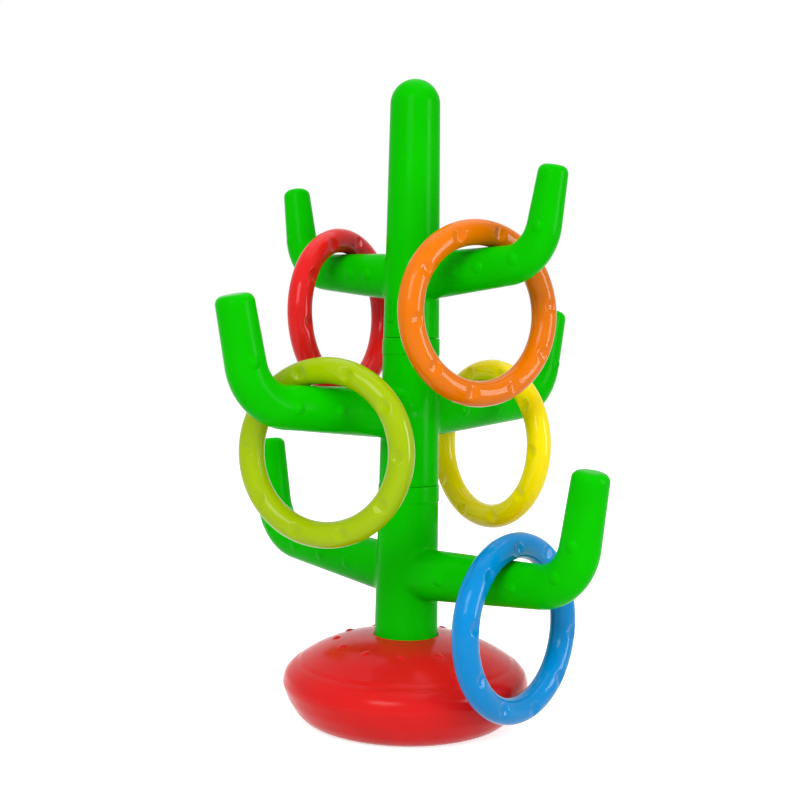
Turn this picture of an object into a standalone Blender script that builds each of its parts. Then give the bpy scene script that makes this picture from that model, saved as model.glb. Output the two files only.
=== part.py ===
"""Cactus ring toss: a hollow base, three plug-together trunk sections with arms, and five rings.

Metres, +Z up, the foot of the base on the floor at z = 0 and the trunk on the Z axis.
"""
import math
from collections import namedtuple

import bmesh
import bpy
import numpy as np

# Fits and walls
WALL = 0.0020
FIT_GAP = 0.0003

# Trunk
HEIGHT = 0.5000
TRUNK_FOOT_RADIUS = 0.0249
TRUNK_TOP_RADIUS = 0.0194
LOWER_JOINT_Z = 0.1850
UPPER_JOINT_Z = 0.2995
PLUG_LENGTH = 0.0270
SPIGOT_LENGTH = 0.0220
COLLAR_HEIGHT = 0.0125
COLLAR_PROUD = 0.0005
TRUNK_SEGMENTS = 32
DOME_STEPS = 4

# Arms, one opposite pair on each trunk section; angles in degrees
Tier = namedtuple("Tier", "height azimuth reach upright rise lean bend root elbow tip")
TIERS = {
    "trunk_lower": Tier(0.1151, -45.6, 0.1649, 0.0847, 3.8, 9.0, 0.0389, 0.0204, 0.0153, 0.0135),
    "trunk_middle": Tier(0.2397, 44.6, 0.1540, 0.0784, 3.8, 12.8, 0.0390, 0.0198, 0.0153, 0.0139),
    "trunk_top": Tier(0.3464, -40.0, 0.1179, 0.0694, 4.3, 9.8, 0.0341, 0.0191, 0.0137, 0.0110),
}
TIP_ROUND = 0.0060
ARM_SEGMENTS = 18
HOLLOW_SEGMENTS = 12
RUN_STOPS = (0.0, 0.3, 0.65)
BEND_STEPS = 5
TIP_ANGLES = (45, 90)

# Base: radius and height of its outside, from the edge of the foot up to the step and the dome
NECK_Z = 0.0670
NECK_LIP = 0.0018
BASE_OUTLINE = (
    (0.0715, 0.0000), (0.0750, 0.0006), (0.0806, 0.0030), (0.0862, 0.0085), (0.0922, 0.0180),
    (0.0969, 0.0300), (0.0946, 0.0385), (0.0886, 0.0445), (0.0846, 0.0462), (0.0834, 0.0480),
    (0.0700, 0.0556), (0.0560, 0.0612), (0.0420, 0.0645), (0.0320, 0.0662),
)
BASE_SEGMENTS = 34
BUMP_COUNT = 12
BUMP_RADIUS = 0.0028
BUMP_CIRCLE = 0.0550
BUMP_START = -93.0
BUMP_SEGMENTS = 5
BUMP_PROFILE = ((0.0, -1.0), (0.9, -0.4), (0.9, 0.2), (0.5, 0.7), (0.0, 0.8))

# Rings, each hung over one arm; side is 1 for the arm at the tier's azimuth, -1 for the opposite one
RING_RADIUS = 0.0598
RING_TUBE = 0.0096
RING_SEGMENTS = 40
TUBE_SEGMENTS = 12
DIMPLE_COUNT = 10
DIMPLE_DEPTH = 0.0016
SWING_ARM = 0.0820
Ring = namedtuple("Ring", "host side along swing yaw tilt")
RINGS = {
    "ring_red": Ring("trunk_top", -1, 0.0732, 10.2, 9.1, -1.7),
    "ring_orange": Ring("trunk_top", 1, 0.0754, -12.0, -18.3, 2.0),
    "ring_yellow": Ring("trunk_middle", 1, 0.0891, -16.4, -7.5, -1.3),
    "ring_lime": Ring("trunk_middle", -1, 0.1027, 18.0, 24.5, 2.3),
    "ring_blue": Ring("trunk_lower", 1, 0.1094, 8.2, 4.6, 2.6),
}

# Colours as seen on screen, 0 to 255
COLOURS = {
    "red": (208, 34, 36), "green": (20, 172, 12), "orange": (236, 122, 8),
    "yellow": (214, 190, 6), "lime": (164, 194, 6), "blue": (24, 136, 214),
}
UP = np.array([0.0, 0.0, 1.0])


def clear_scene():
    """Take away whatever the new file starts with."""
    for obj in list(bpy.data.objects):
        bpy.data.objects.remove(obj, do_unlink=True)


def plastic(colour):
    """Glossy moulded plastic in one colour."""
    name = f"plastic_{colour}"
    if name in bpy.data.materials:
        return bpy.data.materials[name]
    mat = bpy.data.materials.new(name)
    mat.use_nodes = True
    shader = mat.node_tree.nodes["Principled BSDF"]
    linear = [((c / 255 + 0.055) / 1.055) ** 2.4 if c > 10 else c / 255 / 12.92 for c in COLOURS[colour]]
    shader.inputs["Base Color"].default_value = (*linear, 1.0)
    shader.inputs["Roughness"].default_value = 0.28
    shader.inputs["Metallic"].default_value = 0.0
    return mat


def mesh_object(name, verts, faces):
    """A linked mesh object with its faces turned outward."""
    mesh = bpy.data.meshes.new(name)
    mesh.from_pydata([tuple(v) for v in verts], [], faces)
    bm = bmesh.new()
    bm.from_mesh(mesh)
    bmesh.ops.recalc_face_normals(bm, faces=bm.faces)
    bm.to_mesh(mesh)
    bm.free()
    obj = bpy.data.objects.new(name, mesh)
    bpy.context.scene.collection.objects.link(obj)
    return obj


def lathe(name, profile, segments):
    """A solid of revolution from (radius, z) pairs; the first and last lie on the axis."""
    verts = [(0.0, 0.0, profile[0][1])]
    for r, z in profile[1:-1]:
        for k in range(segments):
            a = 2 * math.pi * k / segments
            verts.append((r * math.cos(a), r * math.sin(a), z))
    verts.append((0.0, 0.0, profile[-1][1]))
    faces = []
    rows = len(profile) - 2
    for k in range(segments):
        n = (k + 1) % segments
        faces.append((0, 1 + n, 1 + k))
        for row in range(rows - 1):
            a = 1 + row * segments
            faces.append((a + k, a + n, a + segments + n, a + segments + k))
        last = 1 + (rows - 1) * segments
        faces.append((last + k, last + n, len(verts) - 1))
    return mesh_object(name, verts, faces)


def tube(name, points, radii, across, segments):
    """A capped tube along points that lie in the plane square to the direction across."""
    points = np.array(points)
    along = np.gradient(points, axis=0)
    along /= np.linalg.norm(along, axis=1)[:, None]
    verts, faces = [], []
    for p, d, r in zip(points, along, radii):
        side = np.cross(d, across)
        for k in range(segments):
            a = 2 * math.pi * k / segments
            verts.append(p + r * (math.cos(a) * across + math.sin(a) * side))
    for row in range(len(points) - 1):
        a = row * segments
        for k in range(segments):
            n = (k + 1) % segments
            faces.append((a + k, a + n, a + segments + n, a + segments + k))
    faces.append(tuple(range(segments)))
    faces.append(tuple(range(len(verts) - segments, len(verts))))
    return mesh_object(name, verts, faces)


def combine(obj, tool, operation):
    """Join the tool to the object or cut it away, and remove the tool."""
    mod = obj.modifiers.new("combine", "BOOLEAN")
    mod.operation = operation
    mod.solver = "EXACT"
    mod.object = tool
    bpy.context.view_layer.update()
    graph = bpy.context.evaluated_depsgraph_get()
    mesh = bpy.data.meshes.new_from_object(obj.evaluated_get(graph))
    obj.modifiers.clear()
    obj.data = mesh
    bpy.data.objects.remove(tool, do_unlink=True)


def finish(obj, colour, origin=(0.0, 0.0, 0.0)):
    """Weld, triangulate, shade smooth over soft edges, put the origin on the joint and add the material."""
    bm = bmesh.new()
    bm.from_mesh(obj.data)
    bmesh.ops.remove_doubles(bm, verts=bm.verts, dist=2e-6)
    bmesh.ops.dissolve_degenerate(bm, edges=bm.edges, dist=2e-6)
    bmesh.ops.triangulate(bm, faces=bm.faces)
    bmesh.ops.translate(bm, verts=bm.verts, vec=[-c for c in origin])
    bm.to_mesh(obj.data)
    bm.free()
    obj.location = origin
    obj.data.shade_smooth()
    obj.data.set_sharp_from_angle(angle=math.radians(40))
    obj.data.materials.clear()
    obj.data.materials.append(plastic(colour))
    return obj


def trunk_radius(z):
    """Outside radius of the trunk at a height."""
    t = (z - NECK_Z) / (HEIGHT - TRUNK_TOP_RADIUS - NECK_Z)
    return TRUNK_FOOT_RADIUS + t * (TRUNK_TOP_RADIUS - TRUNK_FOOT_RADIUS)


def socket_radius(joint_z):
    """Bore of the collar that takes the spigot of the section above."""
    return trunk_radius(joint_z) - WALL


def arm_plane(tier, side):
    """Outward and sideways directions of one arm."""
    a = math.radians(tier.azimuth) + (0.0 if side > 0 else math.pi)
    return np.array([math.cos(a), math.sin(a), 0.0]), np.array([-math.sin(a), math.cos(a), 0.0])


def arm_line(tier, shrink):
    """Reach, height and radius along one arm, from trunk axis to tip, shrunk all round for the hollow."""
    rise, lean = math.radians(tier.rise), math.radians(tier.lean)
    run = np.array([math.cos(rise), math.sin(rise)])
    leg = np.array([math.sin(lean), math.cos(lean)])
    normal = np.array([-run[1], run[0]])
    corner = np.array([tier.reach, tier.height + tier.reach * math.tan(rise)])
    turn = math.acos(run @ leg)
    back = tier.bend * math.tan(turn / 2)
    start = corner - run * back
    centre = start + normal * tier.bend
    tip = corner + leg * (tier.upright - shrink)
    root = np.array([0.0, tier.height])
    line = [root + (start - root) * t for t in RUN_STOPS]
    bend_start = len(line)
    for k in range(BEND_STEPS + 1):
        u = turn * k / BEND_STEPS
        line.append(centre + tier.bend * (math.sin(u) * run - math.cos(u) * normal))
    straight_top = corner + leg * back
    edge = tip - leg * TIP_ROUND
    line += [(straight_top + edge) / 2, edge]
    line = np.array(line)
    dist = np.r_[0.0, np.cumsum(np.linalg.norm(np.diff(line, axis=0), axis=1))]
    middle = (dist[bend_start] + dist[bend_start + BEND_STEPS]) / 2
    radii = np.interp(dist, [0.0, middle, dist[-1]], [tier.root, tier.elbow, tier.tip]) - shrink
    for a in np.radians(TIP_ANGLES):
        line = np.vstack([line, edge + leg * TIP_ROUND * math.sin(a)])
        radii = np.append(radii, tier.tip - shrink - TIP_ROUND * (1 - math.cos(a)))
    return line, radii


def arm_pair(name, tier, shrink, segments):
    """Both arms of a tier as one bent tube that runs right through the trunk."""
    out, across = arm_plane(tier, 1)
    line, radii = arm_line(tier, shrink)
    right = [out * reach + UP * z for reach, z in line]
    left = [-out * reach + UP * z for reach, z in line[:0:-1]]
    return tube(name, left + right, list(radii[:0:-1]) + list(radii), across, segments)


def dome(z, radius, inset):
    """Half circle of profile points from the end of the trunk up to the axis."""
    r = radius - inset
    angles = [math.pi / 2 * k / DOME_STEPS for k in range(DOME_STEPS)]
    return [(r * math.cos(a), z + r * math.sin(a)) for a in angles] + [(0.0, z + r)]


def collar(joint_z):
    """Profile of the slightly proud band at the top of a section."""
    low = joint_z - COLLAR_HEIGHT
    proud = COLLAR_PROUD
    return [
        (trunk_radius(low), low), (trunk_radius(low) + proud, low + proud),
        (trunk_radius(joint_z) + proud, joint_z - proud), (trunk_radius(joint_z), joint_z), (0.0, joint_z),
    ]


def plug_bottom():
    """Height of the trunk's lower end inside the base."""
    return NECK_Z - PLUG_LENGTH


def lower_profiles():
    """Outside and hollow of the section that plugs into the base."""
    z0, r0 = plug_bottom(), trunk_radius(NECK_Z)
    outside = [(0.0, z0), (r0, z0), (r0, NECK_Z)] + collar(LOWER_JOINT_Z)
    bore = socket_radius(LOWER_JOINT_Z)
    seat = LOWER_JOINT_Z - SPIGOT_LENGTH - WALL
    hollow = [(0.0, z0 - WALL), (r0 - WALL, z0 - WALL), (r0 - WALL, NECK_Z), (bore, seat)]
    return outside, hollow + [(bore, LOWER_JOINT_Z + WALL), (0.0, LOWER_JOINT_Z + WALL)]


def spigot(joint_z):
    """Lower end of a section: spigot and shoulder outside, and the hollow through them."""
    r = socket_radius(joint_z) - FIT_GAP
    low, shoulder = joint_z - SPIGOT_LENGTH, joint_z + FIT_GAP
    outside = [(0.0, low), (r, low), (r, shoulder), (trunk_radius(shoulder), shoulder)]
    wide = shoulder + 3 * WALL
    hollow = [(0.0, low - WALL), (r - WALL, low - WALL), (r - WALL, shoulder + WALL)]
    return outside, hollow + [(trunk_radius(wide) - WALL, wide)]


def middle_profiles():
    """Outside and hollow of the section between the two joints."""
    outside, hollow = spigot(LOWER_JOINT_Z)
    bore = socket_radius(UPPER_JOINT_Z)
    top = UPPER_JOINT_Z + WALL
    hollow += [(bore, UPPER_JOINT_Z - SPIGOT_LENGTH - WALL), (bore, top), (0.0, top)]
    return outside + collar(UPPER_JOINT_Z), hollow


def top_profiles():
    """Outside and hollow of the section with the domed end."""
    outside, hollow = spigot(UPPER_JOINT_Z)
    crown = HEIGHT - TRUNK_TOP_RADIUS
    return (outside + dome(crown, TRUNK_TOP_RADIUS, 0.0), hollow + dome(crown, TRUNK_TOP_RADIUS, WALL))


def trunk_section(name, profiles, origin_z):
    """A hollow trunk section moulded in one with its pair of hollow arms."""
    outside, hollow = profiles
    tier = TIERS[name]
    obj = lathe(name, outside, TRUNK_SEGMENTS)
    combine(obj, arm_pair("arms", tier, 0.0, ARM_SEGMENTS), "UNION")
    combine(obj, lathe("hollow", hollow, TRUNK_SEGMENTS), "DIFFERENCE")
    combine(obj, arm_pair("arm_hollow", tier, WALL, HOLLOW_SEGMENTS), "DIFFERENCE")
    return finish(obj, "green", (0.0, 0.0, origin_z))


def inset(outline, distance):
    """The outline moved inward by a wall thickness, square to its own run."""
    pts = np.array(outline)
    along = np.gradient(pts, axis=0)
    along /= np.linalg.norm(along, axis=1)[:, None]
    return [tuple(p) for p in pts + distance * np.c_[-along[:, 1], along[:, 0]]]


def base_height(radius):
    """Height of the base's dome at a radius."""
    r, z = np.array(BASE_OUTLINE)[::-1].T
    return float(np.interp(radius, r, z))


def base_bump(k):
    """A small round pip on the dome of the base."""
    a = math.radians(BUMP_START) + 2 * math.pi * k / BUMP_COUNT
    x, y, z = BUMP_CIRCLE * math.cos(a), BUMP_CIRCLE * math.sin(a), base_height(BUMP_CIRCLE)
    pip = lathe("pip", [(BUMP_RADIUS * u, BUMP_RADIUS * v) for u, v in BUMP_PROFILE], BUMP_SEGMENTS)
    pip.location = (x, y, z)
    return pip


def make_base():
    """Hollow base with a flat foot, a step under the dome and a neck with a ledge for the trunk."""
    neck = trunk_radius(NECK_Z) + FIT_GAP
    ledge = plug_bottom() - FIT_GAP
    mouth = trunk_radius(NECK_Z) - 2 * WALL
    outside = [(0.0, 0.0)] + list(BASE_OUTLINE) + [(neck + NECK_LIP, NECK_Z), (neck, NECK_Z)]
    cup = [(neck, ledge), (mouth, ledge), (mouth, ledge - WALL), (neck + WALL, ledge - WALL)]
    under = [p for p in inset(BASE_OUTLINE[1:], WALL) if p[0] > neck + 2 * WALL][::2]
    hollow = [(neck + WALL, base_height(neck + 2 * WALL) - 2 * WALL)] + under[::-1]
    obj = lathe("base", outside + cup + hollow + [(under[0][0] - WALL, WALL), (0.0, WALL)], BASE_SEGMENTS)
    for k in range(BUMP_COUNT):
        combine(obj, base_bump(k), "UNION")
    return finish(obj, "red")


def turned(v, axis, degrees):
    """A vector turned about a unit axis."""
    a = math.radians(degrees)
    return v * math.cos(a) + np.cross(axis, v) * math.sin(a) + axis * (axis @ v) * (1 - math.cos(a))


def unit(v):
    return v / np.linalg.norm(v)


def ring_frame(ring):
    """Centre, axis and upward direction of a ring that hangs on its arm."""
    tier = TIERS[ring.host]
    out, across = arm_plane(tier, ring.side)
    rise = math.radians(tier.rise)
    run = out * math.cos(rise) + UP * math.sin(rise)
    line, radii = arm_line(tier, 0.0)
    straight = len(RUN_STOPS) + 1
    thick = float(np.interp(ring.along, line[:straight, 0], radii[:straight]))
    on_axis = out * ring.along + UP * (tier.height + ring.along * math.tan(rise))
    lift = turned(unit(UP - run * (UP @ run)), run, ring.swing)
    axis = turned(out, UP, ring.yaw)
    axis = axis * math.cos(math.radians(ring.tilt)) + UP * math.sin(math.radians(ring.tilt))
    up = turned(unit(UP - axis * (UP @ axis)), axis, ring.swing)
    centre = on_axis + lift * (thick + FIT_GAP + RING_TUBE) - up * RING_RADIUS
    return centre, axis, up


def make_ring(name, ring):
    """A dimpled ring with its origin on the swing axis above its centre."""
    centre, axis, up = ring_frame(ring)
    side = np.cross(axis, up)
    verts, faces = [], []
    for i in range(RING_SEGMENTS):
        a = 2 * math.pi * i / RING_SEGMENTS
        radial = math.cos(a) * up + math.sin(a) * side
        for j in range(TUBE_SEGMENTS):
            b = 2 * math.pi * j / TUBE_SEGMENTS
            dimple = i % (RING_SEGMENTS // DIMPLE_COUNT) == 0 and j % (TUBE_SEGMENTS // 2) == 0
            r = RING_TUBE - (DIMPLE_DEPTH if dimple else 0.0)
            verts.append(centre + radial * (RING_RADIUS + r * math.sin(b)) + axis * r * math.cos(b))
            here, ahead = i * TUBE_SEGMENTS, (i + 1) % RING_SEGMENTS * TUBE_SEGMENTS
            m = (j + 1) % TUBE_SEGMENTS
            faces.append((here + j, ahead + j, ahead + m, here + m))
    obj = mesh_object(name, verts, faces)
    return finish(obj, name.split("_")[1], tuple(centre + UP * SWING_ARM))


def build():
    clear_scene()
    make_base()
    trunk_section("trunk_lower", lower_profiles(), NECK_Z)
    trunk_section("trunk_middle", middle_profiles(), LOWER_JOINT_Z)
    trunk_section("trunk_top", top_profiles(), UPPER_JOINT_Z)
    for name, ring in RINGS.items():
        make_ring(name, ring)


build()
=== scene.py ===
"""Looks of the cactus ring toss set: finer mouldings, plastics, studio light and the photograph's camera."""
import math
from collections import namedtuple

import bmesh
import bpy
import numpy as np
from mathutils import Matrix


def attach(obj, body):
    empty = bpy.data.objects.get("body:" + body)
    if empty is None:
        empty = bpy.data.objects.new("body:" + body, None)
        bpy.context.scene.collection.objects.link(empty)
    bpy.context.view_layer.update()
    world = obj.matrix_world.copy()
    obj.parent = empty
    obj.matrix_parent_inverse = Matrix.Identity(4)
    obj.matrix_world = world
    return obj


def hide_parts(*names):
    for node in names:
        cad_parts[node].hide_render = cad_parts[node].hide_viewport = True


# Sizes and places shared with the solids, in metres and degrees
WALL = 0.0020
FIT_GAP = 0.0003
HEIGHT = 0.5000
TRUNK_FOOT_RADIUS = 0.0249
TRUNK_TOP_RADIUS = 0.0194
LOWER_JOINT_Z = 0.1850
UPPER_JOINT_Z = 0.2995
PLUG_LENGTH = 0.0270
SPIGOT_LENGTH = 0.0220
COLLAR_HEIGHT = 0.0125
COLLAR_PROUD = 0.0005
Tier = namedtuple("Tier", "height azimuth reach upright rise lean bend root elbow tip")
TIERS = {
    "trunk_lower": Tier(0.1151, -45.6, 0.1649, 0.0847, 3.8, 9.0, 0.0389, 0.0204, 0.0153, 0.0135),
    "trunk_middle": Tier(0.2397, 44.6, 0.1540, 0.0784, 3.8, 12.8, 0.0390, 0.0198, 0.0153, 0.0139),
    "trunk_top": Tier(0.3464, -40.0, 0.1179, 0.0694, 4.3, 9.8, 0.0341, 0.0191, 0.0137, 0.0110),
}
TIP_ROUND = 0.0060
NECK_Z = 0.0670
NECK_LIP = 0.0018
BASE_OUTLINE = (
    (0.0715, 0.0000), (0.0750, 0.0006), (0.0806, 0.0030), (0.0862, 0.0085), (0.0922, 0.0180),
    (0.0969, 0.0300), (0.0946, 0.0385), (0.0886, 0.0445), (0.0846, 0.0462), (0.0834, 0.0480),
    (0.0700, 0.0556), (0.0560, 0.0612), (0.0420, 0.0645), (0.0320, 0.0662),
)
STEP_INDEX = 9
PIP_COUNT = 12
PIP_CIRCLE = 0.0550
PIP_START = -93.0
RING_RADIUS = 0.0598
RING_TUBE = 0.0096
DIMPLE_COUNT = 10
Ring = namedtuple("Ring", "host side along swing yaw tilt")
RINGS = {
    "red": Ring("trunk_top", -1, 0.0732, 10.2, 9.1, -1.7),
    "orange": Ring("trunk_top", 1, 0.0754, -12.0, -18.3, 2.0),
    "yellow": Ring("trunk_middle", 1, 0.0891, -16.4, -7.5, -1.3),
    "lime": Ring("trunk_middle", -1, 0.1027, 18.0, 24.5, 2.3),
    "blue": Ring("trunk_lower", 1, 0.1094, 8.2, 4.6, 2.6),
}

# Finer forms, with the rounding and the small bumps of the mouldings
SEAM_HEIGHT = 0.00012
BASE_SEAM = -20.0
EDGE_ROUND = 0.0004
ROOT_BLEND = 0.0030
ROOT_REACH = 2.2
ROOT_SKIN = 0.00096
ROOT_PASSES = 4
RIM_STEP = 0.0010
RIM_PASSES = 9
NECK_DROPS = (0.0004, 0.0, 0.0006)
DIMPLE_RADIUS = 0.0056
DIMPLE_DEPTH = 0.0022
PIP_RADIUS = 0.0040
PIP_HEIGHT = 0.0014
PIP_SLOPE_REACH = 0.0040
ARM_BUMP_RADIUS = 0.0054
ARM_BUMP_HEIGHT = 0.0014
BUMP_SUNK = 0.12
ARM_BUMPS = {
    "trunk_lower": (0.31, 0.52, 0.73, 0.98),
    "trunk_middle": (0.29, 0.56, 0.82),
    "trunk_top": (0.28, 0.45, 0.63, 0.89),
}
UPRIGHT_BUMP = (1.15, -12.0)
NUMERAL_HOST = "trunk_top"
NUMERAL_AZIMUTH = -137.5
NUMERAL_LOW = 0.3120
NUMERAL_TALL = 0.0165
NUMERAL_WIDE = 0.0062
NUMERAL_STROKE = 0.0014
NUMERAL_PROUD = 0.0011

# Mesh density
TRUNK_SEGMENTS = 96
DOME_STEPS = 15
ARM_SEGMENTS = 64
BEND_POINTS = 25
TIP_ANGLES = (15, 30, 45, 60, 75, 90)
TIP_CAP = (0.6, 0.2)
TIP_CAP_RISE = 0.00005
ROW_STEP = 0.0022
BASE_ROW_STEP = 0.0044
BASE_SEGMENTS = 192
BASE_CURVE_STEPS = 6
RING_SEGMENTS = 320
TUBE_SEGMENTS = 56
BUMP_ROWS = 7
BUMP_SEGMENTS = 20
NUMERAL_STEPS = 6
SHARP_ANGLE = 35.0

# Camera, in an 800 by 800 picture
PICTURE = 800
FOCAL_PX = 1234.0
SENSOR_WIDTH = 36.0
CAMERA_PLACE = (0.0, -0.9659, 0.2910)
CAMERA_YAW = -0.47
CAMERA_PITCH = 2.37
CAMERA_ROLL = 0.99

# Colours as seen on screen, 0 to 255
COLOURS = {
    "red": (212, 26, 26), "green": (8, 182, 0), "orange": (218, 110, 0),
    "yellow": (242, 218, 0), "lime": (152, 178, 0), "blue": (0, 130, 198),
}

# Plastics: mean roughness and strength of the shine, then what all of them share
Finish = namedtuple("Finish", "roughness gloss")
TRUNK_FINISH = Finish(0.18, 0.015)
BASE_FINISH = Finish(0.18, 0.10)
RING_FINISH = Finish(0.12, 0.12)
ROUGHNESS_SPREAD = (-0.05, 0.09)
TONE_SPREAD = (0.96, 1.03)
CLOUD_SCALE = 28.0
SCUFF_SCALE = 140.0
PEEL_SCALE = 420.0
PEEL_STRENGTH = 0.03
PEEL_DEPTH = 0.0006
PLASTIC_IOR = 1.5

# Studio: lamp sizes in metres, powers in watts, and whether a lamp lights the plastic and shows in its shine
Lamp = namedtuple("Lamp", "place target size power lights shines")
LAMPS = {
    "key": Lamp((-0.5, -1.35, 1.0), (0, 0, 0.15), (0.7, 0.7), 13.0, True, True),
    "side": Lamp((1.1, -0.9, 0.5), (0, 0, 0.15), (0.8, 0.8), 6.0, True, False),
    "card": Lamp((1.3, -0.52, 0.50), (0, 0, 0.30), (0.45, 0.9), 19.0, False, True),
    "top": Lamp((0.1, 0.2, 1.7), (0, 0.01, 0.2), (1.4, 1.4), 9.0, True, True),
}
WORLD_FILL = 0.60
FLOOR_HALF = 6.0
FLOOR_Z = -0.0004
FLOOR_GREY = 0.80
FLOOR_GLOW = 0.72

UP = np.array([0.0, 0.0, 1.0])


def linear(colour):
    """Screen colour to the shader's linear values."""
    return [((c / 255 + 0.055) / 1.055) ** 2.4 if c > 10 else c / 255 / 12.92 for c in colour]


def unit(v):
    return v / np.linalg.norm(v)


def turned(v, axis, degrees):
    """A vector turned about a unit axis."""
    a = math.radians(degrees)
    return v * math.cos(a) + np.cross(axis, v) * math.sin(a) + axis * (axis @ v) * (1 - math.cos(a))


def resampled(points, step):
    """A polyline with points no further apart than step."""
    points = np.array(points)
    out = [points[0]]
    for a, b in zip(points[:-1], points[1:]):
        count = max(1, math.ceil(np.linalg.norm(b - a) / step))
        out += [a + (b - a) * k / count for k in range(1, count + 1)]
    return np.array(out)


def rounded(points, radius, steps=4):
    """A (radius, z) polyline with each inner corner replaced by a small curve."""
    points = np.array(points)
    out = [points[0]]
    for before, corner, after in zip(points[:-2], points[1:-1], points[2:]):
        reach_in = min(radius, np.linalg.norm(corner - before) * 0.45)
        reach_out = min(radius, np.linalg.norm(after - corner) * 0.45)
        a = corner + unit(before - corner) * reach_in
        b = corner + unit(after - corner) * reach_out
        for k in range(steps + 1):
            t = k / steps
            out.append((1 - t) ** 2 * a + 2 * t * (1 - t) * corner + t * t * b)
    out.append(points[-1])
    return np.array(out)


def smooth_curve(points, steps):
    """A curve through the points, each span cut into steps."""
    p = np.array(points)
    p = np.vstack([2 * p[0] - p[1], p, 2 * p[-1] - p[-2]])
    out = []
    for a, b, c, d in zip(p[:-3], p[1:-2], p[2:-1], p[3:]):
        for k in range(steps):
            t = k / steps
            out.append(0.5 * (2 * b + (c - a) * t + (2 * a - 5 * b + 4 * c - d) * t * t
                              + (3 * b - a - 3 * c + d) * t ** 3))
    out.append(p[-2])
    return np.array(out)


def softened(points, passes):
    """A polyline with its bends evened out; its ends stay."""
    points = points.copy()
    for _ in range(passes):
        points[1:-1] = (points[:-2] + 2 * points[1:-1] + points[2:]) / 4
    return points


def lengths_along(points):
    """Distance along a polyline at each of its points."""
    return np.r_[0.0, np.cumsum(np.linalg.norm(np.diff(points, axis=0), axis=1))]


def headings(points):
    """Unit direction of a polyline at each of its points."""
    along = np.gradient(points, axis=0)
    return along / np.linalg.norm(along, axis=1)[:, None]


def mesh_object(name, verts, faces):
    """A linked, smooth-shaded mesh object with its faces turned outward."""
    mesh = bpy.data.meshes.new(name)
    mesh.from_pydata([tuple(v) for v in verts], [], faces)
    bm = bmesh.new()
    bm.from_mesh(mesh)
    bmesh.ops.recalc_face_normals(bm, faces=bm.faces)
    bm.to_mesh(mesh)
    bm.free()
    mesh.shade_smooth()
    obj = bpy.data.objects.new(name, mesh)
    bpy.context.scene.collection.objects.link(obj)
    return obj


def grid_faces(rows, columns, offset=0):
    """Quads of a grid whose columns close on themselves."""
    faces = []
    for row in range(rows - 1):
        a = offset + row * columns
        for k in range(columns):
            n = (k + 1) % columns
            faces.append((a + k, a + n, a + columns + n, a + columns + k))
    return faces


def lathe(name, profile, segments, seam_at=None):
    """A solid of revolution; its first and last points lie on the axis, and a mould line runs at seam_at."""
    angles = 2 * math.pi * np.arange(segments) / segments + (seam_at or 0.0)
    ridge = np.zeros(segments)
    if seam_at is not None:
        ridge[[0, segments // 2]] = SEAM_HEIGHT
    verts = [(0.0, 0.0, profile[0][1])]
    for r, z in profile[1:-1]:
        reach = r + ridge
        verts += list(np.c_[reach * np.cos(angles), reach * np.sin(angles), np.full(segments, z)])
    verts.append((0.0, 0.0, profile[-1][1]))
    rows = len(profile) - 2
    faces = grid_faces(rows, segments, 1)
    last = 1 + (rows - 1) * segments
    for k in range(segments):
        n = (k + 1) % segments
        faces.append((0, 1 + n, 1 + k))
        faces.append((last + k, last + n, len(verts) - 1))
    return mesh_object(name, verts, faces)


def combine(obj, tool, operation):
    """Join the tool to the object or cut it away, and remove the tool."""
    mod = obj.modifiers.new("combine", "BOOLEAN")
    mod.operation = operation
    mod.solver = "EXACT"
    mod.object = tool
    bpy.context.view_layer.update()
    graph = bpy.context.evaluated_depsgraph_get()
    mesh = bpy.data.meshes.new_from_object(obj.evaluated_get(graph))
    obj.modifiers.clear()
    obj.data = mesh
    bpy.data.objects.remove(tool, do_unlink=True)


def add_domes(obj, places, radius, height):
    """Low round bumps, each from its point, its outward direction and the sag of the face under it."""
    bm = bmesh.new()
    bm.from_mesh(obj.data)
    for point, out, sag in places:
        out = unit(np.array(out))
        side = unit(np.cross(out, UP if abs(out[2]) < 0.9 else np.array([1.0, 0.0, 0.0])))
        other = np.cross(out, side)
        rows = []
        for i in range(BUMP_ROWS):
            t = i / (BUMP_ROWS - 1)
            level = height * (1 - (1 + BUMP_SUNK) * t ** 2)
            turns = np.linspace(0, 2 * math.pi, BUMP_SEGMENTS if i else 1, endpoint=False)
            spread = [radius * t * (math.cos(a) * side + math.sin(a) * other) for a in turns]
            rows.append([bm.verts.new(point + out * (level - (d @ sag) ** 2) + d) for d in spread])
        under = bm.verts.new(point - out * height)
        for k in range(BUMP_SEGMENTS):
            n = (k + 1) % BUMP_SEGMENTS
            bm.faces.new((rows[0][0], rows[1][k], rows[1][n]))
            for inner, outer in zip(rows[1:-1], rows[2:]):
                bm.faces.new((inner[k], outer[k], outer[n], inner[n]))
            bm.faces.new((rows[-1][k], under, rows[-1][n]))
    bm.to_mesh(obj.data)
    bm.free()


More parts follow.
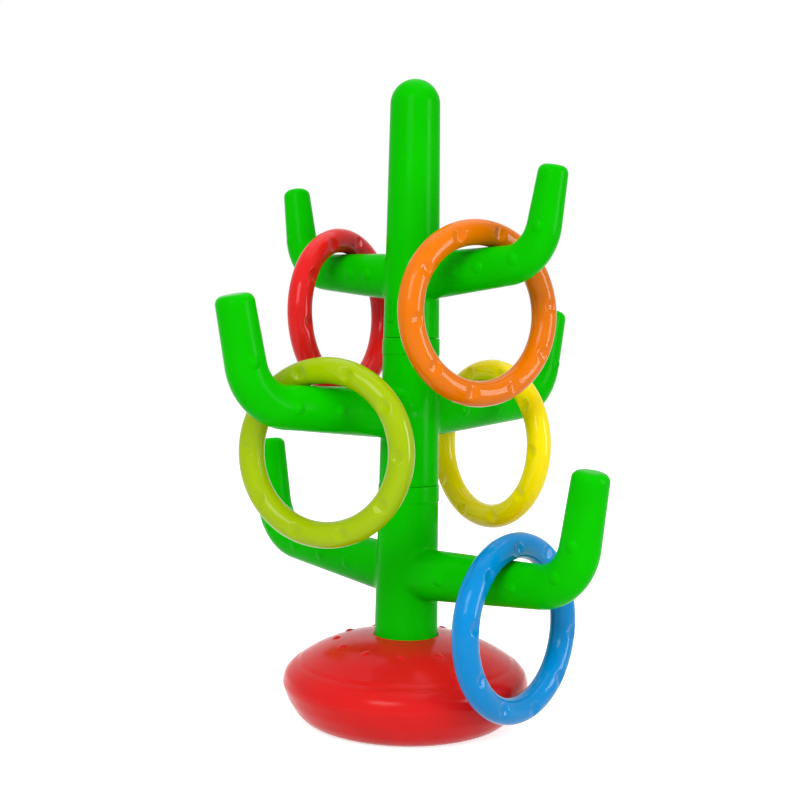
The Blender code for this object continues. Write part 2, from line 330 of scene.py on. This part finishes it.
def add_numeral(obj):
    """The raised figure three that tells the sections apart, in five strokes that follow the trunk."""
    wide, tall, stroke = NUMERAL_WIDE, NUMERAL_TALL, NUMERAL_STROKE
    middle = (tall - stroke) / 2
    strokes = [(0.0, wide, z, z + stroke) for z in (0.0, middle, tall - stroke)]
    strokes += [(wide - stroke, wide, stroke, middle), (wide - stroke, wide, middle + stroke, tall - stroke)]
    bm = bmesh.new()
    bm.from_mesh(obj.data)
    for left, right, low, high in strokes:
        rows = []
        for across in np.linspace(left, right, NUMERAL_STEPS + 1) - wide / 2:
            corners = []
            for level, proud in ((low, -1), (low, 1), (high, 1), (high, -1)):
                z = NUMERAL_LOW + level
                a = math.radians(NUMERAL_AZIMUTH) + across / trunk_radius(z)
                r = trunk_radius(z) + proud * NUMERAL_PROUD
                corners.append(bm.verts.new((r * math.cos(a), r * math.sin(a), z)))
            rows.append(corners)
        for one, two in zip(rows[:-1], rows[1:]):
            for i in range(4):
                n = (i + 1) % 4
                bm.faces.new((one[i], one[n], two[n], two[i]))
        bm.faces.new(rows[0][::-1])
        bm.faces.new(rows[-1])
    bm.to_mesh(obj.data)
    bm.free()


def settle_shading(obj):
    """Smooth shading with the true edges kept crisp."""
    obj.data.shade_smooth()
    obj.data.set_sharp_from_angle(angle=math.radians(SHARP_ANGLE))


def trunk_radius(z):
    """Outside radius of the trunk at a height."""
    t = (z - NECK_Z) / (HEIGHT - TRUNK_TOP_RADIUS - NECK_Z)
    return TRUNK_FOOT_RADIUS + t * (TRUNK_TOP_RADIUS - TRUNK_FOOT_RADIUS)


def arm_plane(tier, side):
    """Outward and sideways directions of one arm."""
    a = math.radians(tier.azimuth) + (0.0 if side > 0 else math.pi)
    return np.array([math.cos(a), math.sin(a), 0.0]), np.array([-math.sin(a), math.cos(a), 0.0])


def arm_line(tier):
    """Reach, height and radius along one arm, from the trunk axis to the middle of its flat tip."""
    rise, lean = math.radians(tier.rise), math.radians(tier.lean)
    run = np.array([math.cos(rise), math.sin(rise)])
    leg = np.array([math.sin(lean), math.cos(lean)])
    normal = np.array([-run[1], run[0]])
    corner = np.array([tier.reach, tier.height + tier.reach * math.tan(rise)])
    turn = math.acos(run @ leg)
    back = tier.bend * math.tan(turn / 2)
    centre = corner - run * back + normal * tier.bend
    angles = np.linspace(0, turn, BEND_POINTS)
    arc = [centre + tier.bend * (math.sin(u) * run - math.cos(u) * normal) for u in angles]
    edge = corner + leg * (tier.upright - TIP_ROUND)
    line = resampled([np.array([0.0, tier.height])] + arc + [edge], ROW_STEP)
    dist = lengths_along(line)
    run_length = tier.reach / math.cos(rise) - back
    middle = run_length + tier.bend * turn / 2
    radii = np.interp(dist, [0.0, middle, dist[-1]], [tier.root, tier.elbow, tier.tip])
    for a in np.radians(TIP_ANGLES):
        line = np.vstack([line, edge + leg * TIP_ROUND * math.sin(a)])
        radii = np.append(radii, tier.tip - TIP_ROUND * (1 - math.cos(a)))
    flat = tier.tip - TIP_ROUND
    for share in TIP_CAP:
        line = np.vstack([line, line[-1] + leg * TIP_CAP_RISE])
        radii = np.append(radii, flat * share)
    return line, radii


def arm_pair(tier):
    """Both arms of a tier as one bent tube right through the trunk, with the mould line in their plane."""
    out, across = arm_plane(tier, 1)
    line, radii = arm_line(tier)
    left = [-out * reach + UP * z for reach, z in line[:0:-1]]
    points = np.array(left + [out * reach + UP * z for reach, z in line])
    radii = np.r_[radii[:0:-1], radii]
    angles = 2 * math.pi * np.arange(ARM_SEGMENTS) / ARM_SEGMENTS
    ridge = np.zeros(ARM_SEGMENTS)
    ridge[[ARM_SEGMENTS // 4, 3 * ARM_SEGMENTS // 4]] = SEAM_HEIGHT
    verts = []
    for p, d, r in zip(points, headings(points), radii):
        normal = np.cross(d, across)
        verts += [p + (r + h) * (math.cos(a) * across + math.sin(a) * normal) for a, h in zip(angles, ridge)]
    faces = grid_faces(len(points), ARM_SEGMENTS)
    faces.append(tuple(range(ARM_SEGMENTS)))
    faces.append(tuple(range(len(verts) - ARM_SEGMENTS, len(verts))))
    return mesh_object("arms", verts, faces)


def root_distances(points, tier):
    """Distance of points from the trunk's side and from the nearer straight run of the arms."""
    trunk = np.hypot(points[:, 0], points[:, 1]) - trunk_radius(points[:, 2])
    out, across = arm_plane(tier, 1)
    reach = np.abs(points @ out)
    rise = math.radians(tier.rise)
    lifted = points[:, 2] - tier.height
    along = reach * math.cos(rise) + lifted * math.sin(rise)
    high = lifted * math.cos(rise) - reach * math.sin(rise)
    thick = tier.root + (tier.elbow - tier.root) * along / tier.reach
    return trunk, np.hypot(points @ across, high) - thick


def blended_distance(points, tier):
    """Distance from trunk and arms with a soft fillet between them."""
    trunk, arms = root_distances(points, tier)
    near = np.maximum(ROOT_BLEND - np.abs(trunk - arms), 0.0) / ROOT_BLEND
    return np.minimum(trunk, arms) - near * near * ROOT_BLEND / 4


def soften_roots(obj, tier):
    """Move the points where arms and trunk meet on to the soft fillet."""
    mesh = obj.data
    points = np.empty(len(mesh.vertices) * 3)
    mesh.vertices.foreach_get("co", points)
    points = points.reshape(-1, 3)
    trunk, arms = root_distances(points, tier)
    close = np.abs(points[:, 2] - tier.height) < ROOT_REACH * tier.root
    pick = close & (np.maximum(trunk, arms) < ROOT_BLEND) & (np.minimum(trunk, arms) > -ROOT_SKIN)
    moving = points[pick]
    step = 1e-5
    for _ in range(ROOT_PASSES):
        level = blended_distance(moving, tier)
        ahead = [blended_distance(moving + step * axis, tier) for axis in np.eye(3)]
        slope = np.stack([(value - level) / step for value in ahead], 1)
        moving -= level[:, None] * slope / np.maximum((slope ** 2).sum(1), 1e-6)[:, None]
    points[pick] = moving
    mesh.vertices.foreach_set("co", points.ravel())
    mesh.update()


def collar(joint_z):
    """Profile of the slightly proud band at the top of a section."""
    low = joint_z - COLLAR_HEIGHT
    proud = COLLAR_PROUD
    return [
        (trunk_radius(low - proud), low - proud), (trunk_radius(low) + proud, low),
        (trunk_radius(joint_z) + proud, joint_z - proud), (trunk_radius(joint_z), joint_z), (0.0, joint_z),
    ]


def spigot(joint_z):
    """Lower end of a section: spigot and shoulder outside, and the hollow through them."""
    r = trunk_radius(joint_z) - WALL - FIT_GAP
    low, shoulder = joint_z - SPIGOT_LENGTH, joint_z + FIT_GAP
    outside = [(0.0, low), (r, low), (r, shoulder), (trunk_radius(shoulder), shoulder)]
    wide = shoulder + 3 * WALL
    hollow = [(0.0, low - WALL), (r - WALL, low - WALL), (r - WALL, shoulder + WALL)]
    return outside, hollow + [(trunk_radius(wide) - WALL, wide)]


def socket(joint_z):
    """Profile of the bore that takes the spigot of the section above."""
    bore, top = trunk_radius(joint_z) - WALL, joint_z + WALL
    return [(bore, joint_z - SPIGOT_LENGTH - WALL), (bore, top), (0.0, top)]


def dome(inset):
    """Profile of the rounded top end."""
    r = TRUNK_TOP_RADIUS - inset
    z = HEIGHT - TRUNK_TOP_RADIUS
    angles = np.linspace(0, math.pi / 2, DOME_STEPS + 1)[:-1]
    return [(r * math.cos(a), z + r * math.sin(a)) for a in angles] + [(0.0, z + r)]


def section_profiles(name):
    """Outside and hollow of one trunk section."""
    if name == "trunk_lower":
        low, r = NECK_Z - PLUG_LENGTH, trunk_radius(NECK_Z)
        outside = [(0.0, low), (r, low), (r, NECK_Z)] + collar(LOWER_JOINT_Z)
        hollow = [(0.0, low - WALL), (r - WALL, low - WALL), (r - WALL, NECK_Z)] + socket(LOWER_JOINT_Z)
    elif name == "trunk_middle":
        outside, hollow = spigot(LOWER_JOINT_Z)
        outside, hollow = outside + collar(UPPER_JOINT_Z), hollow + socket(UPPER_JOINT_Z)
    else:
        outside, hollow = spigot(UPPER_JOINT_Z)
        outside, hollow = outside + dome(0.0), hollow + dome(WALL)
    return outside, hollow


def arm_bump_places(name):
    """Points, outward directions and sags of the small bumps on both flanks of both arms."""
    tier = TIERS[name]
    line, radii = arm_line(tier)
    along, dist = headings(line), lengths_along(line)
    places = []
    for side in (1, -1):
        out, across = arm_plane(tier, side)
        for fraction, lift in [(run, 0.0) for run in ARM_BUMPS[name]] + [UPRIGHT_BUMP]:
            k = int(np.argmin(np.abs(dist - fraction * tier.reach)))
            centre = out * line[k, 0] + UP * line[k, 1]
            inner = -out * along[k, 1] + UP * along[k, 0]
            for flank in (1, -1):
                a = math.radians(lift)
                direction = across * flank * math.cos(a) + inner * math.sin(a)
                around = inner * math.cos(a) - across * flank * math.sin(a)
                places.append((centre + direction * radii[k], direction, around / math.sqrt(2 * radii[k])))
    return places


def make_section(name):
    """A hollow trunk section moulded in one with its pair of arms."""
    tier = TIERS[name]
    outside, hollow = section_profiles(name)
    fine = resampled(rounded(outside[1:-1], EDGE_ROUND), ROW_STEP)
    profile = np.vstack([[outside[0]], fine, [outside[-1]]])
    obj = lathe(f"{name}_skin", profile, TRUNK_SEGMENTS, math.radians(tier.azimuth))
    combine(obj, arm_pair(tier), "UNION")
    soften_roots(obj, tier)
    combine(obj, lathe("hollow", hollow, TRUNK_SEGMENTS), "DIFFERENCE")
    add_domes(obj, arm_bump_places(name), ARM_BUMP_RADIUS, ARM_BUMP_HEIGHT)
    if name == NUMERAL_HOST:
        add_numeral(obj)
    settle_shading(obj)
    obj.data.materials.clear()
    obj.data.materials.append(plastic("trunk", "green", TRUNK_FINISH))
    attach(obj, name)
    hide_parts(name)


def base_profile():
    """Outside of the base from the middle of its foot to the neck, with the step left crisp."""
    lower = softened(resampled(BASE_OUTLINE[1:STEP_INDEX], RIM_STEP), RIM_PASSES)
    upper = smooth_curve(BASE_OUTLINE[STEP_INDEX:], BASE_CURVE_STEPS)
    neck = trunk_radius(NECK_Z) + FIT_GAP
    lip = [(neck + NECK_LIP * share, NECK_Z - drop) for share, drop in zip((1.0, 0.5, 0.0), NECK_DROPS)]
    return np.vstack([[BASE_OUTLINE[0]], lower, upper, lip])


def make_base():
    """Base with its dome, step, neck and ring of small pips."""
    neck = trunk_radius(NECK_Z) + FIT_GAP
    ledge = NECK_Z - PLUG_LENGTH - FIT_GAP
    cup = [(neck, ledge), (0.0, ledge)]
    profile = np.vstack([[(0.0, 0.0)], resampled(base_profile(), BASE_ROW_STEP), cup])
    obj = lathe("base_skin", profile, BASE_SEGMENTS, math.radians(BASE_SEAM))
    r, z = np.array(BASE_OUTLINE[STEP_INDEX:])[::-1].T
    reach = PIP_SLOPE_REACH
    inner, height, outer = np.interp([PIP_CIRCLE - reach, PIP_CIRCLE, PIP_CIRCLE + reach], r, z)
    slope = (outer - inner) / (2 * reach)
    places = []
    for k in range(PIP_COUNT):
        a = math.radians(PIP_START) + 2 * math.pi * k / PIP_COUNT
        radial = np.array([math.cos(a), math.sin(a), 0.0])
        places.append((radial * PIP_CIRCLE + UP * height, UP - radial * slope, np.zeros(3)))
    add_domes(obj, places, PIP_RADIUS, PIP_HEIGHT)
    settle_shading(obj)
    obj.data.materials.append(plastic("base", "red", BASE_FINISH))
    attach(obj, "base")
    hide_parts("base")


def ring_frame(ring):
    """Centre, axis and upward direction of a ring that hangs on its arm."""
    tier = TIERS[ring.host]
    out, _ = arm_plane(tier, ring.side)
    rise = math.radians(tier.rise)
    run = out * math.cos(rise) + UP * math.sin(rise)
    line, radii = arm_line(tier)
    thick = float(np.interp(ring.along, line[:, 0], radii))
    on_axis = out * ring.along + UP * (tier.height + ring.along * math.tan(rise))
    lift = turned(unit(UP - run * (UP @ run)), run, ring.swing)
    axis = turned(out, UP, ring.yaw)
    axis = axis * math.cos(math.radians(ring.tilt)) + UP * math.sin(math.radians(ring.tilt))
    up = turned(unit(UP - axis * (UP @ axis)), axis, ring.swing)
    return on_axis + lift * (thick + FIT_GAP + RING_TUBE) - up * RING_RADIUS, axis, up


def make_ring(colour, ring):
    """A ring with a mould line round its rims and a circle of dimples in each face."""
    centre, axis, up = ring_frame(ring)
    side = np.cross(axis, up)
    a = 2 * math.pi * np.arange(RING_SEGMENTS) / RING_SEGMENTS
    b = 2 * math.pi * np.arange(TUBE_SEGMENTS) / TUBE_SEGMENTS
    a, b = (grid.ravel() for grid in np.meshgrid(a, b, indexing="ij"))
    pitch = 2 * math.pi / DIMPLE_COUNT
    turn = (a + pitch / 2) % pitch - pitch / 2
    face = (b + math.pi / 2) % math.pi - math.pi / 2
    reach = np.hypot(turn * RING_RADIUS, face * RING_TUBE) / DIMPLE_RADIUS
    r = RING_TUBE - DIMPLE_DEPTH * np.clip(1 - reach ** 2, 0.0, 1.0)
    quarter = TUBE_SEGMENTS // 4
    r[quarter::TUBE_SEGMENTS] += SEAM_HEIGHT
    r[3 * quarter::TUBE_SEGMENTS] += SEAM_HEIGHT
    radial = np.outer(np.cos(a), up) + np.outer(np.sin(a), side)
    verts = centre + radial * (RING_RADIUS + r * np.sin(b))[:, None] + np.outer(r * np.cos(b), axis)
    faces = grid_faces(RING_SEGMENTS, TUBE_SEGMENTS)
    last = (RING_SEGMENTS - 1) * TUBE_SEGMENTS
    for k in range(TUBE_SEGMENTS):
        n = (k + 1) % TUBE_SEGMENTS
        faces.append((last + k, last + n, n, k))
    obj = mesh_object(f"ring_{colour}_skin", verts, faces)
    obj.data.materials.append(plastic(f"ring_{colour}", colour, RING_FINISH))
    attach(obj, f"ring_{colour}")
    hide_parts(f"ring_{colour}")


def plastic(piece, colour, finish):
    """Moulded polyethylene: cloudy colour, fine orange peel and handling scuffs."""
    name = f"moulded_{piece}"
    if name in bpy.data.materials:
        return bpy.data.materials[name]
    mat = bpy.data.materials.new(name)
    mat.use_nodes = True
    nodes, links = mat.node_tree.nodes, mat.node_tree.links
    shader = nodes["Principled BSDF"]
    place = nodes.new("ShaderNodeTexCoord")

    def noise(scale, detail, roughen=0.5):
        node = nodes.new("ShaderNodeTexNoise")
        node.inputs["Scale"].default_value = scale
        node.inputs["Detail"].default_value = detail
        node.inputs["Roughness"].default_value = roughen
        links.new(place.outputs["Object"], node.inputs["Vector"])
        return node.outputs["Fac"]

    def ramp(source, low, high, start, end):
        node = nodes.new("ShaderNodeMapRange")
        node.inputs["From Min"].default_value = low
        node.inputs["From Max"].default_value = high
        node.inputs["To Min"].default_value = start
        node.inputs["To Max"].default_value = end
        links.new(source, node.inputs["Value"])
        return node.outputs["Result"]

    tone = nodes.new("ShaderNodeMix")
    tone.data_type = "RGBA"
    base = linear(COLOURS[colour])
    for socket_name, share in zip("AB", TONE_SPREAD):
        tone.inputs[socket_name].default_value = (*[min(1.0, c * share) for c in base], 1.0)
    links.new(ramp(noise(CLOUD_SCALE, 3.0), 0.35, 0.65, 0.0, 1.0), tone.inputs["Factor"])
    links.new(tone.outputs["Result"], shader.inputs["Base Color"])
    smoothest, roughest = (finish.roughness + shift for shift in ROUGHNESS_SPREAD)
    scuffs = ramp(noise(SCUFF_SCALE, 5.0, 0.65), 0.3, 0.75, smoothest, roughest)
    links.new(scuffs, shader.inputs["Roughness"])
    peel = nodes.new("ShaderNodeBump")
    peel.inputs["Strength"].default_value = PEEL_STRENGTH
    peel.inputs["Distance"].default_value = PEEL_DEPTH
    links.new(noise(PEEL_SCALE, 2.0), peel.inputs["Height"])
    links.new(peel.outputs["Normal"], shader.inputs["Normal"])
    shader.inputs["IOR"].default_value = PLASTIC_IOR
    shader.inputs["Specular IOR Level"].default_value = finish.gloss
    return mat


def aimed(right, above, ahead, place):
    """World matrix of a camera or lamp from its directions and its place."""
    matrix = np.eye(4)
    matrix[:3] = np.c_[right, above, -ahead, place]
    return Matrix(matrix.tolist())


def add_camera():
    """The camera where the photograph was taken from."""
    yaw, pitch, roll = (math.radians(v) for v in (CAMERA_YAW, CAMERA_PITCH, CAMERA_ROLL))
    ahead = np.array([math.sin(yaw) * math.cos(pitch), math.cos(yaw) * math.cos(pitch), -math.sin(pitch)])
    level = np.array([math.cos(yaw), -math.sin(yaw), 0.0])
    steep = np.cross(level, ahead)
    right = level * math.cos(roll) + steep * math.sin(roll)
    above = steep * math.cos(roll) - level * math.sin(roll)
    data = bpy.data.cameras.new("camera")
    data.sensor_width = SENSOR_WIDTH
    data.lens = SENSOR_WIDTH * FOCAL_PX / PICTURE
    camera = bpy.data.objects.new("camera", data)
    camera.matrix_world = aimed(right, above, ahead, CAMERA_PLACE)
    bpy.context.scene.collection.objects.link(camera)
    bpy.context.scene.camera = camera


def add_lamp(name, lamp):
    """A soft box aimed at a point."""
    data = bpy.data.lights.new(name, "AREA")
    data.shape = "RECTANGLE"
    data.size, data.size_y = lamp.size
    data.energy = lamp.power
    obj = bpy.data.objects.new(name, data)
    ahead = unit(np.array(lamp.target) - np.array(lamp.place))
    right = unit(np.cross(ahead, UP))
    obj.matrix_world = aimed(right, np.cross(right, ahead), ahead, lamp.place)
    obj.visible_diffuse = lamp.lights
    obj.visible_glossy = lamp.shines
    bpy.context.scene.collection.objects.link(obj)


def white_seen_by_camera(nodes, links, seen, lighting):
    """Mix that shows one shader to camera, mirror and clear-plastic rays and another to the rest."""
    path = nodes.new("ShaderNodeLightPath")
    first = nodes.new("ShaderNodeMath")
    first.operation = "MAXIMUM"
    links.new(path.outputs["Is Camera Ray"], first.inputs[0])
    links.new(path.outputs["Is Glossy Ray"], first.inputs[1])
    second = nodes.new("ShaderNodeMath")
    second.operation = "MAXIMUM"
    links.new(first.outputs[0], second.inputs[0])
    links.new(path.outputs["Is Transmission Ray"], second.inputs[1])
    mix = nodes.new("ShaderNodeMixShader")
    links.new(second.outputs[0], mix.inputs["Fac"])
    links.new(lighting, mix.inputs[1])
    links.new(seen, mix.inputs[2])
    return mix.outputs[0]


def add_world():
    """Even grey-white fill light, shown as white."""
    world = bpy.data.worlds.new("studio")
    bpy.context.scene.world = world
    world.use_nodes = True
    nodes, links = world.node_tree.nodes, world.node_tree.links
    fill = nodes["Background"]
    fill.inputs["Color"].default_value = (1.0, 1.0, 1.0, 1.0)
    fill.inputs["Strength"].default_value = WORLD_FILL
    seen = nodes.new("ShaderNodeBackground")
    seen.inputs["Color"].default_value = (1.0, 1.0, 1.0, 1.0)
    seen.inputs["Strength"].default_value = 1.0
    shown = white_seen_by_camera(nodes, links, seen.outputs[0], fill.outputs[0])
    links.new(shown, nodes["World Output"].inputs["Surface"])


def add_floor():
    """White floor that keeps a soft shadow."""
    mesh = bpy.data.meshes.new("floor")
    corners = [(x * FLOOR_HALF, y * FLOOR_HALF, FLOOR_Z) for x, y in ((-1, -1), (1, -1), (1, 1), (-1, 1))]
    mesh.from_pydata(corners, [], [(0, 1, 2, 3)])
    floor = bpy.data.objects.new("floor", mesh)
    bpy.context.scene.collection.objects.link(floor)
    mat = bpy.data.materials.new("floor_white")
    mat.use_nodes = True
    nodes, links = mat.node_tree.nodes, mat.node_tree.links
    nodes.remove(nodes["Principled BSDF"])
    matte = nodes.new("ShaderNodeBsdfDiffuse")
    matte.inputs["Color"].default_value = (FLOOR_GREY, FLOOR_GREY, FLOOR_GREY, 1.0)
    glow = nodes.new("ShaderNodeEmission")
    glow.inputs["Strength"].default_value = FLOOR_GLOW
    lit = nodes.new("ShaderNodeAddShader")
    links.new(matte.outputs[0], lit.inputs[0])
    links.new(glow.outputs[0], lit.inputs[1])
    shown = white_seen_by_camera(nodes, links, lit.outputs[0], matte.outputs[0])
    links.new(shown, nodes["Material Output"].inputs["Surface"])
    mesh.materials.append(mat)


def add_studio():
    """Camera, lamps, floor and world."""
    bpy.context.scene.view_settings.view_transform = "Standard"
    add_camera()
    for name, lamp in LAMPS.items():
        add_lamp(name, lamp)
    add_floor()
    add_world()


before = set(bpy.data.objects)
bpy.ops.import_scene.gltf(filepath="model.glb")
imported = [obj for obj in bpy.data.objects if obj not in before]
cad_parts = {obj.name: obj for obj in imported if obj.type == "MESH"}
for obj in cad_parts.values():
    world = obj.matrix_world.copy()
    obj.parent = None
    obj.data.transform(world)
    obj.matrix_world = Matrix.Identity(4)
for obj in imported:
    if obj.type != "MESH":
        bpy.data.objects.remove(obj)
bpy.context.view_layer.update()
make_base()
for section in TIERS:
    make_section(section)
for ring_colour, ring_place in RINGS.items():
    make_ring(ring_colour, ring_place)
add_studio()
